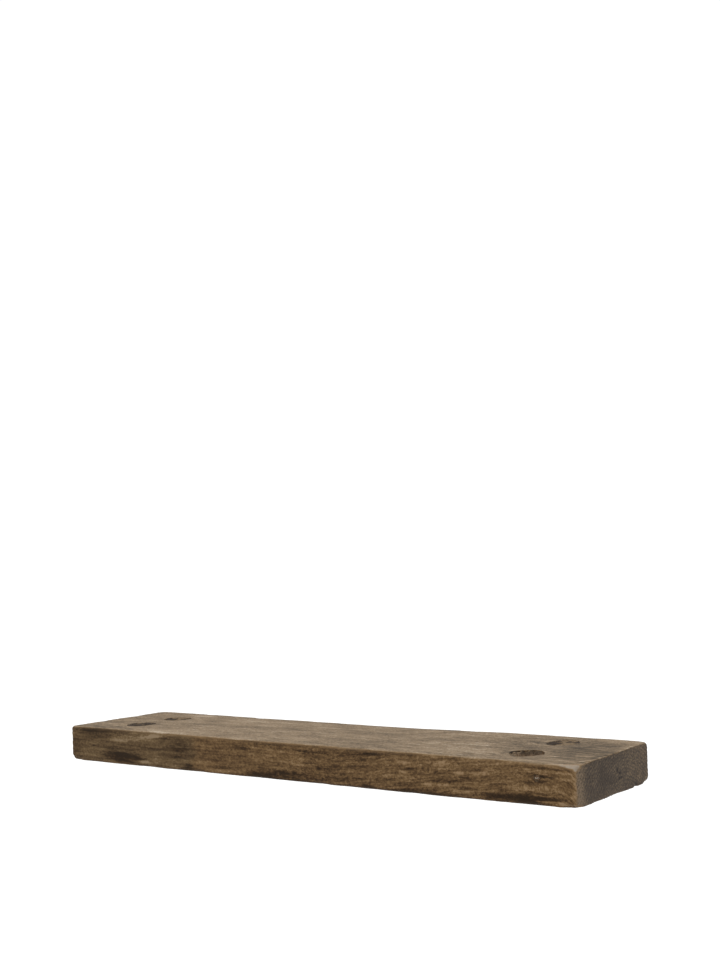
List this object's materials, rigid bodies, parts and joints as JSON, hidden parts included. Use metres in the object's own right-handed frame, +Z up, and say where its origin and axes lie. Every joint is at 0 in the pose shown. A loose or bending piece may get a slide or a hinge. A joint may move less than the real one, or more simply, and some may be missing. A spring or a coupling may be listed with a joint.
{
  "type": "floating wall shelf",
  "caption": "Thick plank shelf of aged, dark-waxed wood with dead knots and worn edges, hung on hidden steel rods welded to screwed wall plates.",
  "frame": {"origin": "middle of the plank's back face, on the wall's surface", "axes": "+X along the plank to the right as seen from the room, +Y into the wall, +Z up"},
  "size_m": [0.6, 0.1945, 0.036],
  "materials": {
    "aged_pine": "sawn, aged and dark waxed, worn pale along the edges",
    "knot_wood": "dark, cracked end grain of dead knots",
    "rusty_iron": "rusted, bright where it snapped",
    "zinc_steel": "bright zinc plate",
    "weld_steel": "rippled weld bead, heat tinted",
    "screw_steel": "yellow zinc plate",
    "plug_nylon": "moulded grey nylon"
  },
  "bodies": {
    "wall_bracket": {"wall_plate_left": "zinc_steel", "support_rod_left": "zinc_steel", "weld_left": "weld_steel", "wall_screw_left_outer": "screw_steel", "wall_plug_left_outer": "plug_nylon", "wall_screw_left_inner": "screw_steel", "wall_plug_left_inner": "plug_nylon", "wall_plate_right": "zinc_steel", "support_rod_right": "zinc_steel", "weld_right": "weld_steel", "wall_screw_right_outer": "screw_steel", "wall_plug_right_outer": "plug_nylon", "wall_screw_right_inner": "screw_steel", "wall_plug_right_inner": "plug_nylon"},
    "board": {"shelf_board": "aged_pine", "knot_front_left": "knot_wood", "knot_front_right": "knot_wood", "knot_back_left": "knot_wood", "knot_back_right": "knot_wood", "old_nail": "rusty_iron"}
  },
  "joints": [
    {"name": "board_slide", "type": "slide", "parent": "wall_bracket", "child": "board", "axis": [0, -1, 0], "range_m": [0, 0.104]}
  ]
}
